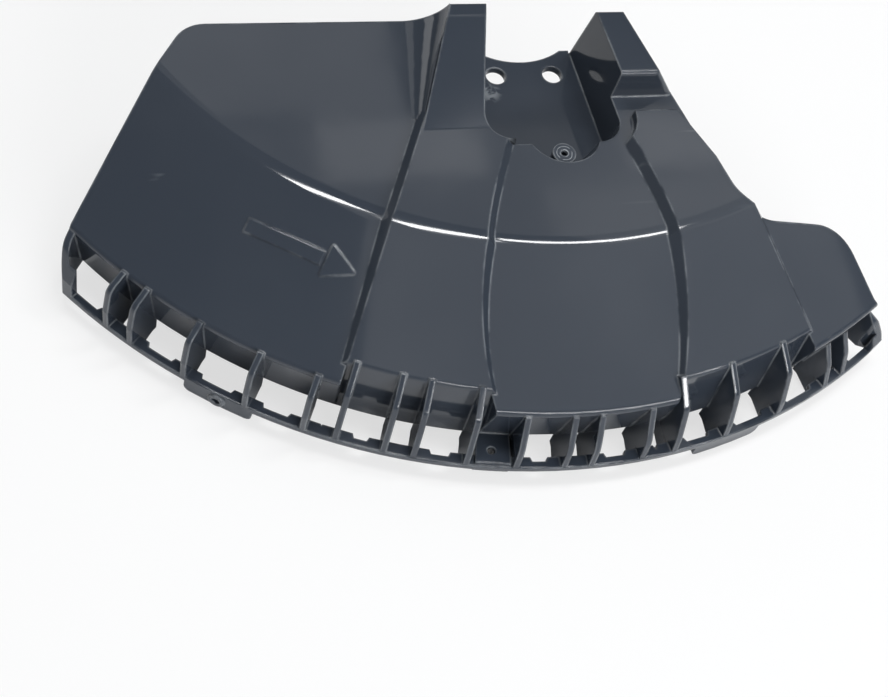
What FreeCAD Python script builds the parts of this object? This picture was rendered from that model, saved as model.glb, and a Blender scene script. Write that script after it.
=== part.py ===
import FreeCAD, Part
import math
import os

from FreeCAD import Vector

# Trimmer blade guard: one injection moulded fan of plastic that sits behind a line head.
# Millimetres, +Z up. It is drawn about the centre of its rim arcs, with the rim towards -Y,
# and moved at the end so that the origin lies midway between the two rear screw holes, on
# the face of the mounting floor that the gear case sits on.

# Walls
skin = 2.6
lip_depth = 6.5
rib_wall = 2.2
rib_root = 1.8
floor_wall = 2.8

# Rim: a thin strip, its top at height 0, carried in front of the wall by radial ribs. It
# is wider for a short way on both sides of a rib. The rim's other radii are this much less.
rim_r = 220.6
strip_width = 2.7
strip_height = 2.4
pad_inset = 4.4
pad_reach = 5.4
pad_ramp = 1.4
wall_foot_inset = 12.6
wall_foot_z = 1.0
lip_end_inset = 24.6
rib_heel_z = -7.0
rib_toe_inset = 4.3
rib_toe_z = -10.5

# Skin of the low panels: flat at the back, then a straight slope down to the ridge
low_top_z = 46.0
low_fold_inset = 62.6
low_ridge_inset = 8.6
low_ridge_z = 23.0
low_ridge_round = 2.5

# Skin of the two raised panels
high_top_z = 49.5
high_fold_inset = 60.6
high_ridge_inset = 14.8
high_ridge_z = 28.0
high_ridge_round = 2.0
fold_round = 16.0

wall_foot_r = rim_r - wall_foot_inset
low_fold_r = rim_r - low_fold_inset
low_ridge_r = rim_r - low_ridge_inset
high_fold_r = rim_r - high_fold_inset
high_ridge_r = rim_r - high_ridge_inset

# Borders of the raised panels: degrees from -Y towards +X. A curved border is given by
# its angle at three radii. The flank below a border runs out by this much per mm of drop.
outer_border = 24.1
left_curve = ((110.0, -8.4), (158.0, -12.4), (210.0, -9.9))
right_curve = ((110.0, 13.0), (158.0, 12.7), (210.0, 8.3))
flank_run = 0.8
flank_foot_z = 20.0
panel_start_inset = 120.6

# Plan outline of the fan
back_y = -60.0
left_corner_x = -125.0
left_corner_round = 13.0
left_rim_x = -172.5
left_rim_y = -132.0
left_end_y = -139.5
rim_corner_round = 13.0
left_end_round = 7.0
right_rim_x = 115.6
right_rim_y = -175.8
right_end_x = 124.6
right_end_y = -179.6
wing_back_y = -150.1
wing_outer_x = 104.4
wing_outer_round = 16.0
wing_inner_x = 62.8
wing_inner_round = 17.0
panel_back_x = 51.0
box_front_x = 48.6
box_back_x = 40.0
box_back_y = -64.0

# Bay for the gear case, widening towards the rim and upwards
bay_front_y = -116.0
bay_left_back = 17.5
bay_left_front = 24.8
bay_left_draft = 0.01
bay_right_back = 19.8
bay_right_front = 24.3
bay_right_draft = 0.10
bay_front_draft = 0.14
bay_corner_round = 9.5
bay_floor_z = 31.0
bay_mouth_y = -50.0
scallop_top_r = 13.8
scallop_floor_r = 9.0
scallop_x = 3.3
scallop_y = -110.5
post_r = 4.3
post_x = 1.9
post_y = -119.9
post_top_z = 45.2
post_bore_r = 1.2
post_bore_depth = 10.0

# Screw holes and spindle clearance in the mounting floor
hole_r = 3.8
rear_hole_y = -74.1
rear_hole_pitch = 22.0
spindle_y = -40.0
spindle_r = 28.0
floor_back_y = -62.8
floor_back_cut = 10.0

# Horn on the left of the bay, with a hollow sweep on its outer side
crest_z = 57.5
horn_back_x = -31.0
horn_front_x = -46.5
horn_front_y = -104.0
horn_top_y = -68.0
horn_foot_y = -112.0
horn_round = 12.0
horn_back_lean = 1.5
horn_reach = 60.0
horn_right_x = -8.0
sweep_back_run = 16.8
sweep_front_run = 4.8

# Box on the right of the bay, its sides leaning in by so much per mm of height, and the
# groove between it and the right panel
box_front_y = -96.4
box_front_lean = 0.14
box_side_lean = 0.64
box_back_lean = 0.075
box_left_x = 8.0
box_edge_round = 1.5
box_root = 6.0
groove_front_y = -105.3
bay_shelf = 5.0

# Radial ribs, degrees from -Y towards +X
left_low_ribs = (-46.2, -43.5, -37.8, -31.7, -26.2)
left_high_ribs = (-23.2, -18.8, -16.1, -11.3)
middle_ribs = (-6.7, -2.2, 0.4, 5.4)
right_high_ribs = (8.7, 14.2, 20.4)
right_low_ribs = (26.7, 29.2)

# Front edge of a rib in each group: distance in from the rim, height, rounding
left_low_edge = ((8.6, 24.4, 0.0), (1.2, 21.4, 4.5), (-0.4, 9.0, 8.0))
high_edge = ((15.3, 29.0, 0.0), (6.0, 21.0, 4.0), (1.2, 6.0, 12.0))
middle_edge = ((8.2, 22.4, 0.0), (1.4, 9.5, 14.0))
right_low_edge = ((9.2, 18.0, 0.0), (4.0, 10.0, 12.0))

# Front edge of the walls that close the two ends of the rim
left_end_edge = ((12.6, 24.2, 3.0), (4.1, 19.0, 7.0), (-0.4, 6.0, 8.0))
right_end_edge = ((13.1, 21.0, 2.0), (5.2, 13.0, 8.0), (-0.2, 3.0, 2.0))

# Screw platform in the rim
platform_angles = (-10.5, -7.2)
platform_inset = 0.8
platform_top_z = 1.5
platform_foot_z = -4.5
platform_bore_r = 1.4
platform_bore_angle = -9.0
platform_bore_inset = 5.7

# Two tabs that hang from the strip, one with a ring on its front
tab_left_angles = (-37.6, -30.9)
tab_right_angles = (11.1, 18.3)
tab_wall = 2.4
tab_drop = 8.0
tab_round = 2.5
ring_angle = -34.3
ring_r = 3.0
ring_bore_r = 1.6
ring_height = 0.8

# Raised arrow on the left panel
arrow_height = 0.5
arrow_tail = (-112.4, -138.8)
arrow_point = (-78.0, -160.6)
arrow_shaft_half = 2.4
arrow_head_half = 5.8
arrow_head_length = 12.6
arrow_gap = 0.9

# Beyond the part on every side, for cutting bodies
far = 400.0
deep = -60.0
above = 5.0


def at(radius, angle, z=0.0):
    turn = math.radians(angle)
    return Vector(radius * math.sin(turn), -radius * math.cos(turn), z)


def plan(u, v):
    return Vector(u, v, 0.0)


def upright(u, v):
    return Vector(u, 0.0, v)


def sideways(u, v):
    return Vector(0.0, u, v)


def line(start, end):
    return Part.LineSegment(start, end).toShape()


def rounded_wire(corners, place=plan):
    """A closed wire through (u, v, round) corners, each corner rounded by its own radius."""
    spans = []
    count = len(corners)
    for index in range(count):
        u, v, radius = corners[index]
        here = Vector(u, v, 0)
        back = Vector(*corners[index - 1][:2], 0).sub(here).normalize()
        ahead = Vector(*corners[(index + 1) % count][:2], 0).sub(here).normalize()
        if radius == 0:
            spans.append((here, None, here))
            continue
        half = back.getAngle(ahead) / 2
        reach = radius / math.tan(half)
        inwards = back.add(ahead).normalize()
        middle = here + inwards * (radius / math.sin(half) - radius)
        spans.append((here + back * reach, middle, here + ahead * reach))
    edges = []
    for index, (start, middle, end) in enumerate(spans):
        following = spans[(index + 1) % count][0]
        if middle is not None:
            arc = Part.Arc(place(start.x, start.y), place(middle.x, middle.y),
                           place(end.x, end.y))
            edges.append(arc.toShape())
        if end.distanceToPoint(following) > 1e-6:
            edges.append(line(place(end.x, end.y), place(following.x, following.y)))
    return Part.Wire(edges)


def face_of(corners, place=plan):
    return Part.Face(rounded_wire(corners, place))


def prism(face, z_low, z_high):
    solid = face.extrude(Vector(0, 0, z_high - z_low))
    solid.translate(Vector(0, 0, z_low))
    return solid


def inset_path(points, inset):
    """Move a path (u, v, round), walked with its inside on the right, inwards by inset."""
    lines = []
    for first, second in zip(points, points[1:]):
        start = Vector(first[0], first[1], 0)
        along = Vector(second[0], second[1], 0).sub(start).normalize()
        inwards = Vector(along.y, -along.x, 0) * inset
        lines.append((start + inwards, along))
    moved = [(lines[0][0].x, lines[0][0].y, 0.0)]
    for (start, along), (other, onward), corner in zip(lines, lines[1:], points[1:]):
        cross = along.x * onward.y - along.y * onward.x
        gap = other - start
        reach = (gap.x * onward.y - gap.y * onward.x) / cross
        meet = start + along * reach
        moved.append((meet.x, meet.y, max(corner[2] - inset, 0.4)))
    start, along = lines[-1]
    last = Vector(points[-1][0], points[-1][1], 0)
    end = start + along * (last - start).dot(along)
    moved.append((end.x, end.y, 0.0))
    return moved


def sector(face, angles):
    """Turn an upright face about the rim's centre, between two angles."""
    face.rotate(Vector(), Vector(0, 0, 1), angles[0] - 90)
    return face.revolve(Vector(), Vector(0, 0, 1), angles[1] - angles[0])


def fill_under(path, inset, foot_z):
    moved = inset_path(path, inset)
    foot, ahead = moved[-1], moved[-2]
    slope = (foot[0] - ahead[0]) / (foot[1] - ahead[1])
    foot_r = foot[0] + slope * (foot_z - foot[1])
    corners = [(0.0, foot_z, 0.0)] + moved[:-1] + [(foot_r, foot_z, 0.0)]
    return sector(face_of(corners, upright), (-80.0, 60.0))


def low_fill(inset, foot_z):
    path = [(0.0, low_top_z, 0.0), (low_fold_r, low_top_z, fold_round),
            (low_ridge_r, low_ridge_z, low_ridge_round), (wall_foot_r, wall_foot_z, 0.0)]
    return fill_under(path, inset, foot_z)


def high_fill(inset, foot_z):
    path = [(0.0, high_top_z, 0.0), (high_fold_r, high_top_z, fold_round),
            (high_ridge_r, high_ridge_z, high_ridge_round), (wall_foot_r, wall_foot_z, 0.0)]
    return fill_under(path, inset, foot_z)


def raised_z(radius):
    slope = (high_ridge_z - high_top_z) / (high_ridge_r - high_fold_r)
    return high_top_z + slope * max(radius - high_fold_r, 0.0)


def curve_angle(curve, radius):
    """Angle of a curved border at a radius, through its three known points."""
    total = 0.0
    for own_r, own_angle in curve:
        share = own_angle
        for other_r, _ in curve:
            if other_r != own_r:
                share *= (radius - other_r) / (own_r - other_r)
        total += share
    return total


def border_point(radius, angle, growth, z):
    turn = math.radians(angle)
    across = Vector(math.cos(turn), math.sin(turn), 0)
    return at(radius, angle, z) + across * growth


def panel_wire(curve, border, z, growth):
    """Plan of a raised panel at height z, each side moved out by growth(radius)."""
    side = 1 if border < 0 else -1
    first_r, last_r = rim_r - panel_start_inset, rim_r + skin
    curved = []
    for start_r, end_r in ((first_r, high_fold_r), (high_fold_r, last_r)):
        radii = [start_r + share * (end_r - start_r) / 3 for share in range(4)]
        points = [border_point(r, curve_angle(curve, r), side * growth(r), z) for r in radii]
        spline = Part.BSplineCurve()
        spline.interpolate(points)
        curved.append((spline.toShape(), points))
    start, tip = curved[0][1][0], curved[1][1][-1]
    straight = [border_point(r, border, -side * growth(r), z)
                for r in (last_r, high_fold_r, first_r / 2)]
    edges = [curved[0][0], curved[1][0], line(tip, straight[0]), line(straight[0], straight[1]),
             line(straight[1], straight[2]), line(straight[2], start)]
    return Part.Wire(edges)


def panel_core(curve, border, grow, top_z=high_top_z + above):
    """Upright body of a raised panel, its sides moved out by grow."""
    wire = panel_wire(curve, border, 0.0, lambda radius: grow)
    return prism(Part.Face(wire), deep, top_z)


def panel_flanks(curve, border):
    """Body of a raised panel whose sides lean out as they go down."""
    wires = []
    for z in (flank_foot_z, high_top_z + above):
        def growth(radius, height=z):
            return (raised_z(radius) - height) * flank_run
        wires.append(panel_wire(curve, border, z, growth))
    return Part.makeLoft(wires, True, True)


def behind_groove(inset):
    return Part.makeBox(far, far, 2 * far, Vector(0, groove_front_y - inset, -far))


def raised_bodies(inset, foot_z):
    """The raised panels; for a hollow, the space beside each core stays under the low skin."""
    high = high_fill(inset, foot_z)
    bodies = []
    for curve, border in ((left_curve, -outer_border), (right_curve, outer_border)):
        if inset == 0:
            pieces = [panel_core(curve, border, 0, flank_foot_z + 1),
                      panel_flanks(curve, border)]
        else:
            beside = low_fill(inset, foot_z).common(panel_core(curve, border, inset))
            pieces = [panel_core(curve, border, -inset), beside]
        pieces = [high.common(piece) for piece in pieces]
        if border > 0:
            shelf = bay_pocket(bay_shelf + inset, low_top_z - inset)
            pieces = [piece.cut(behind_groove(inset)).cut(shelf) for piece in pieces]
        bodies += pieces
    return bodies


def horn(inset, foot_z):
    """The ridge beside the bay, falling from its back edge to the raised panel."""
    path = [(bay_front_y, high_top_z, 0.0), (horn_foot_y, high_top_z, horn_round),
            (horn_top_y, crest_z, horn_round), (back_y - horn_back_lean, crest_z, 1.5),
            (back_y, low_top_z, 0.0)]
    corners = inset_path(path, inset)
    corners += [(corners[-1][0], foot_z, 0.0), (bay_front_y, foot_z, 0.0)]
    ridge = face_of(corners, sideways).extrude(Vector(-horn_reach, 0, 0))
    side = 0.4 * inset
    slope = (horn_front_x - horn_back_x) / (horn_front_y - back_y)
    front_x = horn_back_x + slope * (bay_front_y - back_y)
    corners = [(horn_back_x + side, back_y, 0), (front_x + side, bay_front_y, 0),
               (horn_right_x, bay_front_y, 0), (horn_right_x, back_y, 0)]
    return ridge.common(prism(face_of(corners), foot_z, crest_z + 1))


def sweep_section(y, end_x, run, rise, inset, foot_z):
    """Upright section at y: level with the low skin, then curving up to end_x."""
    radius = (run * run + rise * rise) / (2 * rise)
    start_x = end_x - run
    last_x = end_x + 0.5 * inset
    points = []
    for x in (start_x, (start_x + last_x) / 2, last_x):
        drop = math.sqrt((radius + inset) ** 2 - (x - start_x) ** 2)
        points.append(Vector(x, y, low_top_z + radius - drop))
    foot = (Vector(last_x, y, foot_z), Vector(start_x, y, foot_z))
    return Part.Wire([Part.Arc(*points).toShape(), line(points[2], foot[0]),
                      line(foot[0], foot[1]), line(foot[1], points[0])])


def sweep(inset, foot_z):
    rise = crest_z - low_top_z
    back = sweep_section(back_y, horn_back_x, sweep_back_run, rise, inset, foot_z)
    front = sweep_section(horn_front_y, horn_front_x, sweep_front_run,
                          high_top_z - low_top_z, inset, foot_z)
    body = Part.makeLoft([front, back], True, True)
    return body.cut(behind_lean(back_y, low_top_z, horn_back_lean, -horn_reach))


def behind_lean(foot_y, foot_z, lean, reach_x):
    """What lies behind a face that leans forward by lean from its foot to the crest."""
    corners = [(foot_y, foot_z, 0), (foot_y - lean, crest_z, 0),
               (foot_y - lean, crest_z + above, 0), (foot_y + above, crest_z + above, 0),
               (foot_y + above, foot_z, 0)]
    return face_of(corners, sideways).extrude(Vector(reach_x, 0, 0))


def box_corners(z, inset):
    """Plan of the box at height z; its sides meet the low skin on the fan's outline."""
    rise = z - low_top_z
    front = box_front_y + box_front_lean * rise + inset
    back = box_back_y - box_back_lean * (z - bay_floor_z) - inset
    slope = (box_front_x - box_back_x) / (box_front_y - box_back_y)
    side = -box_side_lean * rise - 1.2 * inset
    front_x = box_front_x + side + slope * (front - box_front_y)
    back_x = box_back_x + side + slope * (back - box_back_y)
    return [(box_left_x, front, 0), (front_x, front, 0), (back_x, back, 0),
            (box_left_x, back, 0)]


def tapered_block(low, high):
    """A solid between two plans with parallel sides, walked the same way round as +Z turns."""
    count = len(low)
    loops = [low[::-1], high]
    for index in range(count):
        following = (index + 1) % count
        loops.append([low[index], low[following], high[following], high[index]])
    faces = [Part.Face(Part.makePolygon(loop + loop[:1])) for loop in loops]
    return Part.makeSolid(Part.makeShell(faces))


def box(inset, foot_z):
    low_z = low_top_z - box_root
    levels = []
    for z in (low_z, crest_z - inset):
        levels.append([Vector(x, y, z) for x, y, _ in box_corners(z, inset)])
    upper = tapered_block(*levels)
    if inset:
        return upper.fuse(prism(face_of(box_corners(low_z, inset)), foot_z, low_z))
    outer = [edge for edge in upper.Edges
             if max(vertex.Z for vertex in edge.Vertexes) > crest_z - 1
             and max(vertex.X for vertex in edge.Vertexes) > box_left_x + 1
             and edge.CenterOfMass.y < box_back_y - box_edge_round]
    return upper.makeFillet(box_edge_round, outer)


def bay_side(y, z, back, front, back_draft):
    """Distance of a side wall of the bay from the middle plane."""
    share = (y - back_y) / (bay_front_y - back_y)
    draft = back_draft + share * (bay_front_draft - back_draft)
    return back + share * (front - back) + draft * (z - bay_floor_z)


def bay_wire(z, grow):
    mouth_y, front_y = bay_mouth_y, bay_front_y - grow
    left, right = [], []
    for y in (mouth_y, front_y):
        left.append(-grow - bay_side(y, z, bay_left_back, bay_left_front, bay_left_draft))
        right.append(grow + bay_side(y, z, bay_right_back, bay_right_front, bay_right_draft))
    corner = bay_corner_round + grow
    wire = rounded_wire([(left[0], mouth_y, 0), (left[1], front_y, corner),
                         (right[1], front_y, corner), (right[0], mouth_y, 0)])
    wire.translate(Vector(0, 0, z))
    return wire


def bay_pocket(grow, floor_z):
    wires = [bay_wire(floor_z, grow), bay_wire(crest_z + above, grow)]
    return Part.makeLoft(wires, True, True)


def bay(inset):
    """The pocket for the gear case, grown by inset at its sides."""
    floor_z = bay_floor_z - (floor_wall if inset else 0.0)
    draft = (scallop_top_r - scallop_floor_r) / (low_top_z - bay_floor_z)
    radii = [scallop_floor_r + draft * (z - bay_floor_z) + inset for z in (floor_z, crest_z)]
    scallop = Part.makeCone(radii[0], radii[1], crest_z - floor_z,
                            Vector(scallop_x, scallop_y, floor_z))
    return bay_pocket(inset, floor_z).fuse(scallop)


def under_skin(inset, foot_z):
    """The bodies that together fill the space under the skin moved inwards by inset."""
    low = low_fill(inset, foot_z).cut(panel_core(left_curve, -outer_border, inset))
    right_core = panel_core(right_curve, outer_border, inset)
    low = low.cut(right_core.cut(behind_groove(inset + 0.5)))
    bodies = [low] + raised_bodies(inset, foot_z)
    return bodies + [horn(inset, foot_z), sweep(inset, foot_z), box(inset, foot_z)]


def outline():
    rim_y = -1.2 * rim_r
    before_left = at(rim_r + skin, left_low_ribs[0])
    after_right = Vector(right_end_x, right_end_y, 0) * 1.3
    return [(left_corner_x, back_y, left_corner_round),
            (left_rim_x, left_rim_y, rim_corner_round),
            (left_rim_x, left_end_y, left_end_round),
            (before_left.x, before_left.y, 0),
            (before_left.x, rim_y, 0),
            (after_right.x, rim_y, 0),
            (after_right.x, after_right.y, 0),
            (right_end_x, right_end_y, 3.0),
            (right_rim_x, right_rim_y, 4.0),
            (wing_outer_x, wing_back_y, wing_outer_round),
            (wing_inner_x, wing_back_y, wing_inner_round),
            (panel_back_x, groove_front_y, 1.5),
            (box_front_x, box_front_y, 1.5),
            (box_back_x, box_back_y, 2.5),
            (bay_right_back, box_back_y, 0),
            (bay_right_back, back_y, 0)]


def rim_outline(face):
    disc = Part.Face(Part.Wire(Part.makeCircle(rim_r)))
    return face.common(disc).Faces[0]


def shell(face):
    """The skin with its bay, open below, with a lip turned down at its free edges."""
    bodies = under_skin(0.0, wall_foot_z)
    body = bodies[0].fuse(bodies[1:]).cut(bay(0.0)).common(prism(face, deep, far))
    inside = prism(face.makeOffset2D(-skin), deep - 1, far + 1)
    kept_bay = bay(skin)
    for hollow in under_skin(skin, deep / 2):
        body = body.cut(hollow.cut(kept_bay).common(inside))
    band = prism(face, deep, far).cut(inside)
    below_lip = low_fill(lip_depth, deep / 2).common(
        Part.makeCylinder(rim_r - lip_end_inset, 2 * far, Vector(0, 0, -far)))
    body = body.cut(below_lip.common(band).cut(kept_bay))
    lean = box_back_lean * (crest_z - bay_floor_z)
    behind_box = behind_lean(box_back_y, bay_floor_z, lean, horn_reach)
    behind_box.translate(Vector(bay_right_back, 0, 0))
    return body.cut(behind_box)


def floor_cuts():
    top, height = bay_floor_z - 2 * floor_wall, 2.25 * floor_wall
    cuts = [Part.makeCylinder(spindle_r, height, Vector(0, spindle_y, top))]
    for side in (-1, 1):
        centre = Vector(side * rear_hole_pitch / 2, rear_hole_y, top)
        cuts.append(Part.makeCylinder(hole_r, height, centre))
    back = Part.makeBox(bay_left_back + bay_right_back, floor_back_cut, height,
                        Vector(-bay_left_back, floor_back_y, top))
    return cuts + [back]


def post():
    height = post_top_z - bay_floor_z + floor_wall / 2
    return Part.makeCylinder(post_r, height, Vector(post_x, post_y,
                                                    bay_floor_z - floor_wall / 2))


def from_rim(edge):
    return [(rim_r - inwards, height, rounding) for inwards, height, rounding in edge]


def rib(angle, edge, ridge_r, ridge_z):
    """A gusset from the wall to the strip, standing on a radius."""
    root_r = wall_foot_r - skin / 2
    corners = [(root_r, rib_heel_z, 0), (root_r, wall_foot_z, 0),
               (ridge_r - skin, ridge_z - rib_root, 0)] + from_rim(edge)
    corners += [(rim_r, -1.0, 0), (rim_r - rib_toe_inset, rib_toe_z, 0),
                (wall_foot_r + 1.0, rib_heel_z, 0)]
    body = face_of(corners, upright).extrude(Vector(0, rib_wall, 0))
    body.translate(Vector(0, -rib_wall / 2, 0))
    body.rotate(Vector(), Vector(0, 0, 1), angle - 90)
    return body


def ribs():
    low = (low_ridge_r, low_ridge_z)
    high = (high_ridge_r, high_ridge_z)
    groups = ((left_low_ribs, left_low_edge, low), (left_high_ribs, high_edge, high),
              (middle_ribs, middle_edge, low), (right_high_ribs, high_edge, high),
              (right_low_ribs, right_low_edge, (low_ridge_r, right_low_edge[0][1])))
    return [rib(angle, edge, *ridge) for angles, edge, ridge in groups for angle in angles]


def ring_piece(r_low, r_high, z_low, z_high, angles):
    corners = [(r_low, z_low, 0), (r_low, z_high, 0), (r_high, z_high, 0), (r_high, z_low, 0)]
    return sector(face_of(corners, upright), angles)


def pad(angle, side):
    """The wider piece of the strip on one side of a rib."""
    turn = math.radians(angle)
    across = Vector(math.cos(turn), math.sin(turn), 0) * side
    bar_r = rim_r - strip_width / 2
    pad_r = rim_r - pad_inset
    corners = []
    for step, radius in ((0.0, bar_r), (0.0, pad_r), (pad_reach, pad_r),
                         (pad_reach + pad_ramp, bar_r)):
        point = at(radius, angle) + across * step
        corners.append((point.x, point.y, 0))
    return prism(face_of(corners), -strip_height, 0)


def strip(rim_face):
    """The outer strip between the two ends of the outline, with its pads."""
    bar = ring_piece(rim_r - strip_width, rim_r, -strip_height, 0, (-60, 45))
    pads = []
    for angle in (left_low_ribs + left_high_ribs + middle_ribs + right_high_ribs
                  + right_low_ribs):
        pads += [pad(angle, -1), pad(angle, 1)]
    return bar.fuse(pads).common(prism(rim_face, deep, far))


def end_walls(rim_face):
    """The outline's own wall, carried on at both ends of the rim to the strip."""
    band = prism(rim_face, -strip_height, far)
    band = band.cut(prism(rim_face.makeOffset2D(-skin), -strip_height - 1, far + 1))
    walls = []
    for angles, edge in (((-60, -50.3), left_end_edge), ((33.3, 45), right_end_edge)):
        top = edge[0][1]
        inner_r = rim_r - lip_end_inset
        profile = [(inner_r, -strip_height, 0), (inner_r, top, 0)] + from_rim(edge)
        profile += [(rim_r, -strip_height, 0)]
        walls.append(band.common(sector(face_of(profile, upright), angles)))
    return walls


def tab(angles):
    body = ring_piece(rim_r - tab_wall, rim_r, -tab_drop, 0, angles)
    corners = [edge for edge in body.Edges
               if len(edge.Vertexes) == 2
               and all(abs(vertex.Z + tab_drop) < 0.01 for vertex in edge.Vertexes)
               and edge.Length < tab_wall + 0.1]
    return body.makeFillet(tab_round, corners)


def radial_cylinder(radius, r_from, r_to, angle, z):
    return Part.makeCylinder(radius, r_to - r_from, at(r_from, angle, z), at(1.0, angle))


def arrow():
    """A flat arrow standing proud of the slope, its head parted from its shaft."""
    tail = Vector(*arrow_tail, 0)
    point = Vector(*arrow_point, 0)
    along = (point - tail).normalize()
    across = Vector(-along.y, along.x, 0)
    neck = point - along * arrow_head_length
    shaft = [tail + across * arrow_shaft_half, neck + across * arrow_shaft_half,
             neck - across * arrow_shaft_half, tail - across * arrow_shaft_half]
    base = neck + along * arrow_gap
    head = [base + across * arrow_head_half, point, base - across * arrow_head_half]
    layer = low_fill(-arrow_height, low_ridge_z).cut(low_fill(0.4, low_ridge_z - 1))
    bodies = []
    for points, rounding in ((shaft, 0.0), (head, 0.6)):
        face = face_of([(p.x, p.y, rounding) for p in points])
        bodies.append(layer.common(prism(face, 0, far)))
    return bodies


def guard():
    face = face_of(outline())
    rim_face = rim_outline(face)
    tab_z = -tab_drop / 2
    added = ribs() + [strip(rim_face), post(), tab(tab_left_angles), tab(tab_right_angles)]
    added += end_walls(rim_face) + arrow()
    added.append(ring_piece(wall_foot_r - skin / 2, rim_r - platform_inset, platform_foot_z,
                            platform_top_z, platform_angles))
    added.append(radial_cylinder(ring_r, rim_r - tab_wall, rim_r + ring_height,
                                 ring_angle, tab_z))
    body = shell(face).cut(floor_cuts()).fuse(added)
    post_bore = Part.makeCylinder(post_bore_r, 2 * post_bore_depth,
                                  Vector(post_x, post_y, post_top_z - post_bore_depth))
    platform_at = at(rim_r - platform_bore_inset, platform_bore_angle, 2 * platform_foot_z)
    platform_bore = Part.makeCylinder(platform_bore_r, -4 * platform_foot_z, platform_at)
    ring_bore = radial_cylinder(ring_bore_r, rim_r - tab_wall / 2, rim_r + 2 * ring_height,
                                ring_angle, tab_z)
    bores = [post_bore, platform_bore, ring_bore]
    body = body.cut(bores).removeSplitter()
    body.translate(Vector(0, -rear_hole_y, -bay_floor_z))
    return body


shape = guard()
os.makedirs("parts", exist_ok=True)
shape.exportStep("parts/blade_guard.step")
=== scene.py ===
import math

import bpy
from mathutils import Matrix, Vector

# Trimmer blade guard: one glossy slate-grey moulding. The solid stays as the shape;
# this script gives it its plastic, with rounded edges in the finish, and sets up the studio.
# Metres, +Z up, origin midway between the two screw holes on the floor of the bay.

# Rounding of the moulding's edges, in the finish alone
EDGE_ROUND = 0.0011
EDGE_SAMPLES = 6

# Skin of the panels: level, then bent down round the rim's axis to a straight slope
RIM_CENTRE = (0.0, 0.0741, 0.0)
FOLD_ROUND = 0.016
LOW_TOP = 0.015
LOW_FOLD_R = 0.158
LOW_SLOPE = math.atan2(0.023, 0.054)
HIGH_TOP = 0.0185
HIGH_FOLD_R = 0.160
HIGH_SLOPE = math.atan2(0.0215, 0.0458)

# How close to the exact skin a surface lies to count as skin: metres, and share of facing
SKIN_NEAR = 0.00015
SKIN_OFF = 0.0003
SKIN_FACING = 0.995
SKIN_TURNED = 0.985

# Height of the surface that the guard lies on
FOOT_Z = -0.0415

# Colours of the plastic
SLATE = (0.033, 0.041, 0.055, 1.0)
SLATE_PALE = (0.042, 0.050, 0.064, 1.0)
# Pale grey of scuffs, rings and scratches, also used as painted highlight along the edges
SCUFF_AND_HIGHLIGHT_GREY = (0.26, 0.28, 0.30, 1.0)

# Gloss: of the clean plastic, what its haze adds, and what the marks and the painted edge
# highlight add
CLEAN_ROUGHNESS = 0.06
HAZE_ROUGHNESS = 0.03
MARK_ROUGHNESS = 0.25
PLASTIC_IOR = 1.5

# Faint texture of the moulded skin
FLOW_SCALE = 9.0
GRAIN_SCALE = 90.0
GRAIN_STRENGTH = 0.05
GRAIN_DEPTH = 0.0002

# Hair scratches over the whole guard: angle about +Z and fineness of each run
SCRATCH_RUNS = ((0.5, 130.0), (-0.9, 90.0))
SCRATCH_AMOUNT = 0.55
# Strength of the pale lines along the edges: painted edge highlight, partly rubbed wear
EDGE_HIGHLIGHT_AND_WEAR = 0.7

# Rub marks: on the end of the post in the bay, and beside the left screw hole
POST_TOP = (0.0019, -0.0458, 0.0142)
POST_MARK_R = 0.0044
POST_RINGS = 3.5
HOLE_RUB = (-0.0150, -0.0075, 0.0)
HOLE_RUB_R = 0.0055
HOLE_RUB_GRAIN = 260.0
HOLE_RUB_AMOUNT = 0.55

# Camera of the photograph
CAMERA_AT = Vector((-0.1861, -0.3555, 0.4543))
CAMERA_HEADING = math.radians(29.0)
CAMERA_TILT = math.radians(58.6)
CAMERA_ROLL = math.radians(21.5)
FOCAL_PIXELS = 1600.0
IMAGE_WIDTH = 888.0
SENSOR = 36.0

# Middle of the guard, which the standing lamps face
LAMP_AIM = (0.0, -0.08, 0.0)

# Overhead strip lamps in plan, from start to end: each lights the folds of one side
STRIP_LAMPS = (("left", (-0.33, 0.035), (-0.07, 0.15)),
               ("middle", (-0.06, -0.06), (0.22, 0.115)),
               ("right", (0.27, 0.20), (0.67, 0.125)))

# Floor, and how much of its own white it shows to the camera
FLOOR_HALF = 3.0
FLOOR_WHITE = (0.86, 0.86, 0.86, 1.0)
FLOOR_GLOW = 0.68

# Light from all round, and the backdrop that the camera sees instead of it
SKY_LIGHT = (0.80, 0.86, 0.92, 1.0)
SKY_STRENGTH = 0.20
BACKDROP = (0.80, 0.80, 0.80, 1.0)


def new_group(name, inputs, outputs):
    """An empty shader node group; inputs are (name, kind, default), outputs (name, kind)."""
    group = bpy.data.node_groups.new(name, "ShaderNodeTree")
    for label, kind, value in inputs:
        socket = group.interface.new_socket(label, in_out="INPUT", socket_type=kind)
        socket.default_value = value
    for label, kind in outputs:
        group.interface.new_socket(label, in_out="OUTPUT", socket_type=kind)
    enter = group.nodes.new("NodeGroupInput")
    leave = group.nodes.new("NodeGroupOutput")
    return group, enter, leave


def math_node(tree, operation, first, second=None, clamp=False):
    node = tree.nodes.new("ShaderNodeMath")
    node.operation = operation
    node.use_clamp = clamp
    for socket, value in zip(node.inputs, (first, second)):
        if value is None:
            continue
        if isinstance(value, (int, float)):
            socket.default_value = value
        else:
            tree.links.new(value, socket)
    return node.outputs[0]


def noise(tree, coordinates, scale, detail, roughness):
    node = tree.nodes.new("ShaderNodeTexNoise")
    node.inputs["Scale"].default_value = scale
    node.inputs["Detail"].default_value = detail
    node.inputs["Roughness"].default_value = roughness
    tree.links.new(coordinates, node.inputs["Vector"])
    return node.outputs["Fac"]


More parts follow.
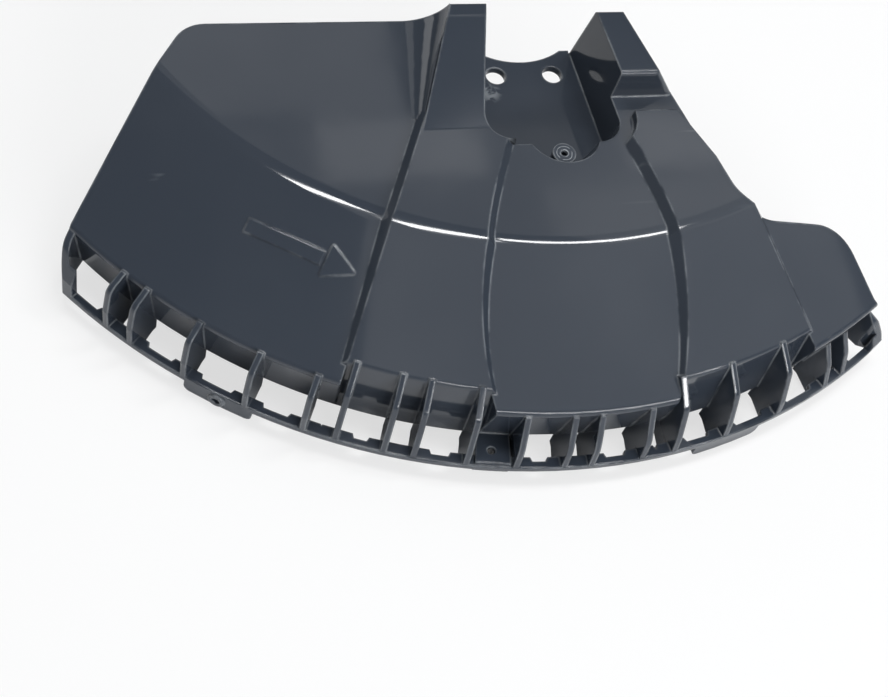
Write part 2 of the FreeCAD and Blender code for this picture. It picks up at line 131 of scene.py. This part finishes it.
def ramp(tree, value, low, high):
    """Stretch a value so that low becomes 0 and high becomes 1."""
    node = tree.nodes.new("ShaderNodeMapRange")
    node.interpolation_type = "SMOOTHSTEP"
    node.inputs["From Min"].default_value = low
    node.inputs["From Max"].default_value = high
    tree.links.new(value, node.inputs["Value"])
    return node.outputs["Result"]


def stretched(tree, coordinates, angle, factors):
    """Coordinates turned about +Z, then stretched, for marks that run one way."""
    node = tree.nodes.new("ShaderNodeMapping")
    node.inputs["Rotation"].default_value = (0.0, 0.0, angle)
    node.inputs["Scale"].default_value = factors
    tree.links.new(coordinates, node.inputs["Vector"])
    return node.outputs["Vector"]


def vector_node(tree, operation, first, second=None):
    node = tree.nodes.new("ShaderNodeVectorMath")
    node.operation = operation
    for socket, value in zip(node.inputs, (first, second)):
        if isinstance(value, bpy.types.NodeSocket):
            tree.links.new(value, socket)
        elif value is not None:
            socket.default_value = value
    return node


def scaled(tree, vector, factor):
    node = tree.nodes.new("ShaderNodeVectorMath")
    node.operation = "SCALE"
    tree.links.new(vector, node.inputs[0])
    tree.links.new(factor, node.inputs["Scale"])
    return node.outputs[0]


def share_of_reach(tree, vector, centre, reach):
    """Distance from a centre as a share of a radius."""
    away = vector_node(tree, "DISTANCE", vector, centre).outputs["Value"]
    return math_node(tree, "DIVIDE", away, reach)


def past_bend_start(tree, radius, fold, slope):
    """How far out from the start of the bend a point lies."""
    half = math_node(tree, "TANGENT", math_node(tree, "MULTIPLY", slope, 0.5))
    before = math_node(tree, "MULTIPLY", half, FOLD_ROUND)
    start = math_node(tree, "SUBTRACT", fold, before)
    return math_node(tree, "SUBTRACT", radius, start)


def bend_tilt(tree, past, sine):
    """Sine and cosine of the skin's tilt: none before the bend, the slope's after it."""
    tilt = math_node(tree, "DIVIDE", past, FOLD_ROUND, clamp=True)
    tilt = math_node(tree, "MINIMUM", tilt, sine)
    left = math_node(tree, "SUBTRACT", 1.0, math_node(tree, "MULTIPLY", tilt, tilt))
    return tilt, math_node(tree, "SQRT", left)


def skin_height(tree, past, sine, cosine, top, slope):
    """Height of the exact skin: its top, less the drop round the bend and down the slope."""
    turned = math_node(tree, "SUBTRACT", 1.0, cosine)
    bend = math_node(tree, "MULTIPLY", turned, FOLD_ROUND)
    beyond = math_node(tree, "SUBTRACT", past, math_node(tree, "MULTIPLY", sine, FOLD_ROUND))
    beyond = math_node(tree, "MAXIMUM", beyond, 0.0)
    run = math_node(tree, "MULTIPLY", beyond, math_node(tree, "TANGENT", slope))
    return math_node(tree, "SUBTRACT", top, math_node(tree, "ADD", bend, run))


def on_skin(tree, offset, height, exact, normal):
    """Mask that is 1 where a surface lies on the exact skin and faces the same way."""
    split = tree.nodes.new("ShaderNodeSeparateXYZ")
    tree.links.new(offset, split.inputs[0])
    away = math_node(tree, "ABSOLUTE", math_node(tree, "SUBTRACT", split.outputs["Z"], height))
    facing = vector_node(tree, "DOT_PRODUCT", exact, normal).outputs["Value"]
    return math_node(tree, "MULTIPLY", ramp(tree, away, SKIN_OFF, SKIN_NEAR),
                     ramp(tree, facing, SKIN_TURNED, SKIN_FACING))


def bent_skin():
    """Exact normal of a panel's skin, wherever the surface lies on that skin.

    Top is the height of its level part, Fold the radius of the bend from the rim's axis.
    """
    group, enter, leave = new_group(
        "bent_skin",
        [("Vector", "NodeSocketVector", (0.0, 0.0, 0.0)),
         ("Normal", "NodeSocketVector", (0.0, 0.0, 1.0)),
         ("Top", "NodeSocketFloat", 0.0),
         ("Fold", "NodeSocketFloat", 0.1),
         ("Slope", "NodeSocketFloat", 0.4)],
        [("Normal", "NodeSocketVector")])
    out = enter.outputs
    offset = vector_node(group, "SUBTRACT", out["Vector"], RIM_CENTRE).outputs[0]
    level = vector_node(group, "MULTIPLY", offset, (1.0, 1.0, 0.0)).outputs[0]
    radius = vector_node(group, "LENGTH", level).outputs["Value"]
    outwards = vector_node(group, "NORMALIZE", level).outputs[0]
    sine = math_node(group, "SINE", out["Slope"])
    past = past_bend_start(group, radius, out["Fold"], out["Slope"])
    tilt, cosine = bend_tilt(group, past, sine)
    height = skin_height(group, past, sine, cosine, out["Top"], out["Slope"])
    upright = group.nodes.new("ShaderNodeCombineXYZ")
    group.links.new(cosine, upright.inputs["Z"])
    leaning = scaled(group, outwards, tilt)
    exact = vector_node(group, "ADD", leaning, upright.outputs[0]).outputs[0]
    match = on_skin(group, offset, height, exact, out["Normal"])
    mixed = group.nodes.new("ShaderNodeMix")
    mixed.data_type = "VECTOR"
    group.links.new(match, mixed.inputs[0])
    group.links.new(out["Normal"], mixed.inputs[4])
    group.links.new(exact, mixed.inputs[5])
    smooth = vector_node(group, "NORMALIZE", mixed.outputs[1])
    group.links.new(smooth.outputs[0], leave.inputs["Normal"])
    return group


def moulding_flow():
    """Broad, faint cloudiness of the moulded skin: colour share and roughness share."""
    group, enter, leave = new_group(
        "moulding_flow",
        [("Vector", "NodeSocketVector", (0.0, 0.0, 0.0)),
         ("Scale", "NodeSocketFloat", 9.0)],
        [("Cloud", "NodeSocketFloat"), ("Haze", "NodeSocketFloat")])
    sized = scaled(group, enter.outputs["Vector"], enter.outputs["Scale"])
    cloud = noise(group, sized, 1.0, 3.0, 0.55)
    haze = noise(group, sized, 5.5, 4.0, 0.6)
    group.links.new(ramp(group, cloud, 0.35, 0.7), leave.inputs["Cloud"])
    group.links.new(ramp(group, haze, 0.4, 0.75), leave.inputs["Haze"])
    return group


def fine_scratches():
    """Hair-thin scratches in two directions, gathered in patches."""
    group, enter, leave = new_group(
        "fine_scratches",
        [("Vector", "NodeSocketVector", (0.0, 0.0, 0.0)),
         ("Amount", "NodeSocketFloat", 0.5)],
        [("Mask", "NodeSocketFloat")])
    lines = []
    for angle, scale in SCRATCH_RUNS:
        along = stretched(group, enter.outputs["Vector"], angle, (0.05, 1.0, 1.0))
        hair = noise(group, along, scale, 2.0, 0.5)
        lines.append(ramp(group, hair, 0.70, 0.76))
    both = math_node(group, "MAXIMUM", lines[0], lines[1])
    patches = ramp(group, noise(group, enter.outputs["Vector"], 14.0, 2.0, 0.5), 0.50, 0.68)
    mask = math_node(group, "MULTIPLY", both, patches)
    mask = math_node(group, "MULTIPLY", mask, enter.outputs["Amount"], clamp=True)
    group.links.new(mask, leave.inputs["Mask"])
    return group


def rubbed_patch():
    """A dull, smeared patch round one place."""
    group, enter, leave = new_group(
        "rubbed_patch",
        [("Vector", "NodeSocketVector", (0.0, 0.0, 0.0)),
         ("Centre", "NodeSocketVector", (0.0, 0.0, 0.0)),
         ("Radius", "NodeSocketFloat", 0.01),
         ("Grain", "NodeSocketFloat", 200.0)],
        [("Mask", "NodeSocketFloat")])
    share = share_of_reach(group, enter.outputs["Vector"], enter.outputs["Centre"],
                           enter.outputs["Radius"])
    near = ramp(group, share, 1.0, 0.3)
    smear = group.nodes.new("ShaderNodeTexNoise")
    smear.inputs["Detail"].default_value = 3.0
    smear.inputs["Distortion"].default_value = 1.2
    group.links.new(enter.outputs["Vector"], smear.inputs["Vector"])
    group.links.new(enter.outputs["Grain"], smear.inputs["Scale"])
    streaks = ramp(group, smear.outputs["Fac"], 0.48, 0.62)
    mask = math_node(group, "MULTIPLY", near, streaks, clamp=True)
    group.links.new(mask, leave.inputs["Mask"])
    return group


def turned_rings():
    """Fine broken rings round an upright axis, as a driver leaves on the end of a post."""
    group, enter, leave = new_group(
        "turned_rings",
        [("Vector", "NodeSocketVector", (0.0, 0.0, 0.0)),
         ("Centre", "NodeSocketVector", (0.0, 0.0, 0.0)),
         ("Radius", "NodeSocketFloat", 0.005),
         ("Rings", "NodeSocketFloat", 4.0)],
        [("Mask", "NodeSocketFloat")])
    share = share_of_reach(group, enter.outputs["Vector"], enter.outputs["Centre"],
                           enter.outputs["Radius"])
    wander = noise(group, enter.outputs["Vector"], 420.0, 2.0, 0.5)
    phase = math_node(group, "MULTIPLY", share, enter.outputs["Rings"])
    phase = math_node(group, "ADD", phase, math_node(group, "MULTIPLY", wander, 0.5))
    wave = math_node(group, "PINGPONG", phase, 0.5)
    rings = ramp(group, wave, 0.34, 0.46)
    broken = ramp(group, noise(group, enter.outputs["Vector"], 300.0, 1.0, 0.5), 0.42, 0.55)
    near = ramp(group, share, 1.0, 0.86)
    mask = math_node(group, "MULTIPLY", rings, broken)
    mask = math_node(group, "MULTIPLY", mask, near, clamp=True)
    group.links.new(mask, leave.inputs["Mask"])
    return group


def edge_highlight_and_wear():
    """Broken pale lines along the edges: painted edge highlight, partly rubbed wear where
    handling has taken the gloss off.
    """
    group, enter, leave = new_group(
        "edge_highlight_and_wear",
        [("Vector", "NodeSocketVector", (0.0, 0.0, 0.0)),
         ("Rounded", "NodeSocketVector", (0.0, 0.0, 1.0)),
         ("Amount", "NodeSocketFloat", 0.3)],
        [("Mask", "NodeSocketFloat")])
    flat = group.nodes.new("ShaderNodeNewGeometry").outputs["Normal"]
    facing = vector_node(group, "DOT_PRODUCT", flat, enter.outputs["Rounded"]).outputs["Value"]
    edge = ramp(group, facing, 0.985, 0.955)
    broken = ramp(group, noise(group, enter.outputs["Vector"], 70.0, 3.0, 0.6), 0.34, 0.62)
    mask = math_node(group, "MULTIPLY", edge, broken)
    mask = math_node(group, "MULTIPLY", mask, enter.outputs["Amount"], clamp=True)
    group.links.new(mask, leave.inputs["Mask"])
    return group


def place(tree, group, **values):
    """Put a shader node group in a tree; a value may be a socket or a constant."""
    node = tree.nodes.new("ShaderNodeGroup")
    node.node_tree = group
    for label, value in values.items():
        if isinstance(value, bpy.types.NodeSocket):
            tree.links.new(value, node.inputs[label])
        else:
            node.inputs[label].default_value = value
    return node


def mix_colour(tree, share, first, second):
    node = tree.nodes.new("ShaderNodeMix")
    node.data_type = "RGBA"
    tree.links.new(share, node.inputs["Factor"])
    for index, value in ((6, first), (7, second)):
        if isinstance(value, bpy.types.NodeSocket):
            tree.links.new(value, node.inputs[index])
        else:
            node.inputs[index].default_value = value
    return node.outputs[2]


def rounded_edges(tree):
    edges = tree.nodes.new("ShaderNodeBevel")
    edges.samples = EDGE_SAMPLES
    edges.inputs["Radius"].default_value = EDGE_ROUND
    return edges.outputs["Normal"]


def marks_and_edge_sheen(tree, coordinates, rounded):
    """Every rub, ring and scratch, and the painted edge highlight with its wear, in one mask."""
    scratches = place(tree, fine_scratches(), Vector=coordinates, Amount=SCRATCH_AMOUNT)
    rings = place(tree, turned_rings(), Vector=coordinates, Centre=POST_TOP,
                  Radius=POST_MARK_R, Rings=POST_RINGS)
    rub = place(tree, rubbed_patch(), Vector=coordinates, Centre=HOLE_RUB,
                Radius=HOLE_RUB_R, Grain=HOLE_RUB_GRAIN)
    edge_sheen = place(tree, edge_highlight_and_wear(), Vector=coordinates, Rounded=rounded, Amount=EDGE_HIGHLIGHT_AND_WEAR)
    marks_and_sheen = math_node(tree, "MULTIPLY", rub.outputs["Mask"], HOLE_RUB_AMOUNT)
    for more in (rings, scratches, edge_sheen):
        marks_and_sheen = math_node(tree, "MAXIMUM", marks_and_sheen, more.outputs["Mask"])
    return marks_and_sheen


def plastic_roughness(tree, haze, marks_and_sheen):
    rough = math_node(tree, "MULTIPLY", haze, HAZE_ROUGHNESS)
    rough = math_node(tree, "ADD", rough, CLEAN_ROUGHNESS)
    dulled = math_node(tree, "MULTIPLY", marks_and_sheen, MARK_ROUGHNESS)
    return math_node(tree, "ADD", rough, dulled, clamp=True)


def plastic_normal(tree, coordinates, rounded):
    """Rounded edges, then the exact skins of the low and the raised panels, then fine grain."""
    skin = bent_skin()
    low = place(tree, skin, Vector=coordinates, Normal=rounded, Top=LOW_TOP,
                Fold=LOW_FOLD_R, Slope=LOW_SLOPE)
    high = place(tree, skin, Vector=coordinates, Normal=low.outputs["Normal"], Top=HIGH_TOP,
                 Fold=HIGH_FOLD_R, Slope=HIGH_SLOPE)
    bump = tree.nodes.new("ShaderNodeBump")
    bump.inputs["Strength"].default_value = GRAIN_STRENGTH
    bump.inputs["Distance"].default_value = GRAIN_DEPTH
    tree.links.new(high.outputs["Normal"], bump.inputs["Normal"])
    tree.links.new(noise(tree, coordinates, GRAIN_SCALE, 1.0, 0.5), bump.inputs["Height"])
    return bump.outputs["Normal"]


def guard_plastic():
    material = bpy.data.materials.new("guard_plastic")
    material.use_nodes = True
    tree = material.node_tree
    shader = tree.nodes["Principled BSDF"]
    shader.inputs["IOR"].default_value = PLASTIC_IOR
    coordinates = tree.nodes.new("ShaderNodeTexCoord").outputs["Object"]
    rounded = rounded_edges(tree)
    flow = place(tree, moulding_flow(), Vector=coordinates, Scale=FLOW_SCALE)
    marks_and_sheen = marks_and_edge_sheen(tree, coordinates, rounded)
    clean = mix_colour(tree, flow.outputs["Cloud"], SLATE, SLATE_PALE)
    # Scuffs, rings and scratches, and a pale painted highlight along the edges, greyed into the
    # colour
    colour = mix_colour(tree, marks_and_sheen, clean, SCUFF_AND_HIGHLIGHT_GREY)
    rough = plastic_roughness(tree, flow.outputs["Haze"], marks_and_sheen)
    tree.links.new(colour, shader.inputs["Base Color"])
    tree.links.new(rough, shader.inputs["Roughness"])
    tree.links.new(plastic_normal(tree, coordinates, rounded), shader.inputs["Normal"])
    return material


def dress_guard(node):
    """Give the solid its plastic."""
    node.data.materials.clear()
    node.data.materials.append(guard_plastic())


def floor_white():
    """White floor: it takes the guard's shadow, and looks paler to the camera than it lights."""
    material = bpy.data.materials.new("floor_white")
    material.use_nodes = True
    tree = material.node_tree
    shader = tree.nodes["Principled BSDF"]
    shader.inputs["Base Color"].default_value = FLOOR_WHITE
    shader.inputs["Roughness"].default_value = 0.9
    glow = tree.nodes.new("ShaderNodeEmission")
    glow.inputs["Strength"].default_value = 1.0
    rays = tree.nodes.new("ShaderNodeLightPath")
    seen = math_node(tree, "MULTIPLY", rays.outputs["Is Camera Ray"], FLOOR_GLOW)
    mixed = tree.nodes.new("ShaderNodeMixShader")
    tree.links.new(seen, mixed.inputs[0])
    tree.links.new(shader.outputs[0], mixed.inputs[1])
    tree.links.new(glow.outputs[0], mixed.inputs[2])
    tree.links.new(mixed.outputs[0], tree.nodes["Material Output"].inputs["Surface"])
    return material


def studio_floor(height):
    mesh = bpy.data.meshes.new("studio_floor")
    corners = [(x * FLOOR_HALF, y * FLOOR_HALF, height)
               for x, y in ((-1, -1), (1, -1), (1, 1), (-1, 1))]
    mesh.from_pydata(corners, [], [(0, 1, 2, 3)])
    floor = bpy.data.objects.new("studio_floor", mesh)
    bpy.context.collection.objects.link(floor)
    mesh.materials.append(floor_white())


def panel_lamp(name, stand, target, size, radiance):
    """A rectangular lamp at a stand, facing a target, with one brightness whatever its size."""
    data = bpy.data.lights.new(name, "AREA")
    data.shape = "RECTANGLE"
    data.size, data.size_y = size
    data.energy = radiance * math.pi * size[0] * size[1]
    lamp = bpy.data.objects.new(name, data)
    lamp.location = stand
    lamp.rotation_euler = (Vector(target) - Vector(stand)).to_track_quat("-Z", "Y").to_euler()
    bpy.context.collection.objects.link(lamp)
    return lamp


def ceiling_panel(name, x_range, y_range, height, radiance):
    """A level lamp that faces down over a range of x and y."""
    middle = (sum(x_range) / 2, sum(y_range) / 2, height)
    size = (x_range[1] - x_range[0], y_range[1] - y_range[0])
    panel_lamp(name, middle, (middle[0], middle[1], 0.0), size, radiance)


def ceiling_strip(name, start, end, width, height, radiance):
    """A level lamp that faces down along the line from start to end."""
    run = Vector(end) - Vector(start)
    middle = (Vector(start) + Vector(end)) / 2
    lamp = panel_lamp(name, (middle.x, middle.y, height), (middle.x, middle.y, 0.0),
                      (run.length, width), radiance)
    lamp.rotation_euler = (0.0, 0.0, math.atan2(run.y, run.x))


def studio_light():
    ceiling_panel("ceiling_front", (-0.35, 2.75), (-1.2, 0.1), 2.0, 0.56)
    ceiling_panel("ceiling_back", (-0.5, 1.4), (1.1, 1.44), 2.0, 0.36)
    ceiling_panel("ceiling_right", (0.8, 2.75), (0.0, 1.29), 2.02, 0.45)
    ceiling_panel("window_left", (-0.5, 0.55), (1.46, 2.0), 2.0, 0.74)
    ceiling_panel("window_middle", (0.36, 0.68), (1.29, 1.44), 1.98, 0.85)
    ceiling_panel("window_right", (0.97, 1.35), (1.29, 1.44), 1.98, 0.9)
    for name, start, end in STRIP_LAMPS:
        ceiling_strip("glow_" + name, start, end, 0.20, 1.22, 1.4)
        ceiling_strip("strip_" + name, start, end, 0.10, 1.2, 26.0)
    panel_lamp("front_soft", (0.45, -1.5, 0.75), LAMP_AIM, (1.6, 0.6), 1.9)
    panel_lamp("front_strip", (0.45, -1.48, 0.75), LAMP_AIM, (1.5, 0.10), 28.0)
    panel_lamp("left_soft", (-1.6, 1.6, 0.9), LAMP_AIM, (1.3, 0.8), 1.6)


def studio_world():
    """Faint cool light from all round, which the camera sees as a pale backdrop."""
    world = bpy.data.worlds.new("studio")
    world.use_nodes = True
    tree = world.node_tree
    light = tree.nodes["Background"]
    light.inputs["Color"].default_value = SKY_LIGHT
    light.inputs["Strength"].default_value = SKY_STRENGTH
    pale = tree.nodes.new("ShaderNodeBackground")
    pale.inputs["Color"].default_value = BACKDROP
    rays = tree.nodes.new("ShaderNodeLightPath")
    mixed = tree.nodes.new("ShaderNodeMixShader")
    tree.links.new(rays.outputs["Is Camera Ray"], mixed.inputs[0])
    tree.links.new(light.outputs[0], mixed.inputs[1])
    tree.links.new(pale.outputs[0], mixed.inputs[2])
    tree.links.new(mixed.outputs[0], tree.nodes["World Output"].inputs["Surface"])
    bpy.context.scene.world = world


def photo_camera():
    """Look along the heading, tilted down, then rolled about the view direction."""
    forward = Vector((0.0, math.cos(CAMERA_TILT), -math.sin(CAMERA_TILT)))
    up = Vector((0.0, math.sin(CAMERA_TILT), math.cos(CAMERA_TILT)))
    right = Vector((1.0, 0.0, 0.0))
    rolled_right = math.cos(CAMERA_ROLL) * right + math.sin(CAMERA_ROLL) * up
    rolled_up = -math.sin(CAMERA_ROLL) * right + math.cos(CAMERA_ROLL) * up
    turn = Matrix.Rotation(-CAMERA_HEADING, 3, "Z")
    axes = Matrix([turn @ rolled_right, turn @ rolled_up, turn @ -forward]).transposed()
    data = bpy.data.cameras.new("photo_camera")
    data.sensor_width = SENSOR
    data.lens = FOCAL_PIXELS * SENSOR / IMAGE_WIDTH
    camera = bpy.data.objects.new("photo_camera", data)
    camera.matrix_world = Matrix.Translation(CAMERA_AT) @ axes.to_4x4()
    bpy.context.collection.objects.link(camera)
    bpy.context.scene.camera = camera


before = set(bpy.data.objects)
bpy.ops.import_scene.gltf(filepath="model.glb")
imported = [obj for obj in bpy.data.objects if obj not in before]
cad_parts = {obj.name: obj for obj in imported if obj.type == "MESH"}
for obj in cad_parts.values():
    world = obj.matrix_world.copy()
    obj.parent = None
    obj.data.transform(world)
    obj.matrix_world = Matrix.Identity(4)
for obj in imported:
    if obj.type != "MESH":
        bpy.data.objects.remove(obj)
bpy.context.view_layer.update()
dress_guard(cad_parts["blade_guard"])
studio_floor(FOOT_Z)
studio_light()
studio_world()
photo_camera()
bpy.context.scene.view_settings.view_transform = "Standard"
